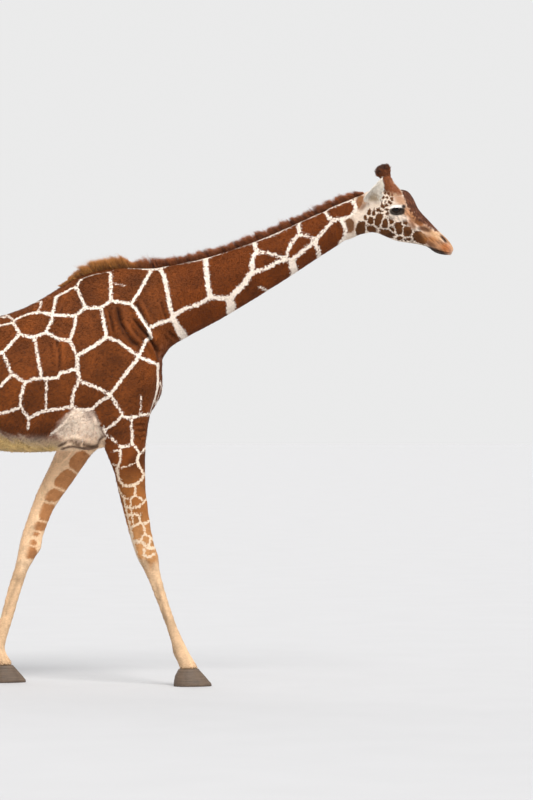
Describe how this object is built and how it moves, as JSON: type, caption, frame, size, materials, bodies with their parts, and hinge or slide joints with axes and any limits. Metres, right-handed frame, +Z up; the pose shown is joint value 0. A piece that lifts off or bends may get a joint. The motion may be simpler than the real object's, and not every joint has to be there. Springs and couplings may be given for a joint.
{
  "type": "reticulated giraffe",
  "caption": "Life-size standing giraffe with a netted chestnut coat, in a slow walking pose, long neck held low and forward, on flat hooves.",
  "frame": {"origin": "on the floor, under the middle of the animal's overall length and width", "axes": "+X from tail to head, +Y to the animal's left, +Z up"},
  "size_m": [3.6145, 0.596, 3.2138],
  "materials": {
    "coat": "short flat hair, chestnut patches parted by narrow cream lines, cream belly and lower legs",
    "ear": "short whitish hair outside, longer beige hair inside",
    "eye": "wet, very dark brown",
    "ossicone": "short tan hair on the shaft, darker longer hair round the knob",
    "mane": "stiff upright reddish brown hair",
    "tail_tuft": "long black hair",
    "hoof": "dark grey-brown horn, faint growth rings"
  },
  "bodies": {
    "root": {"trunk": "coat", "neck": "coat", "head": "coat", "ear_right": "ear", "ear_left": "ear", "eye_right": "eye", "eye_left": "eye", "ossicone_right": "ossicone", "ossicone_left": "ossicone", "mane": "mane", "tail": "coat", "tail_tuft": "tail_tuft", "leg_fore_right": "coat", "leg_fore_left": "coat", "leg_hind_right": "coat", "leg_hind_left": "coat", "hoof_fore_right_inner": "hoof", "hoof_fore_right_outer": "hoof", "hoof_fore_left_inner": "hoof", "hoof_fore_left_outer": "hoof", "hoof_hind_right_inner": "hoof", "hoof_hind_right_outer": "hoof", "hoof_hind_left_inner": "hoof", "hoof_hind_left_outer": "hoof"}
  },
  "joints": []
}
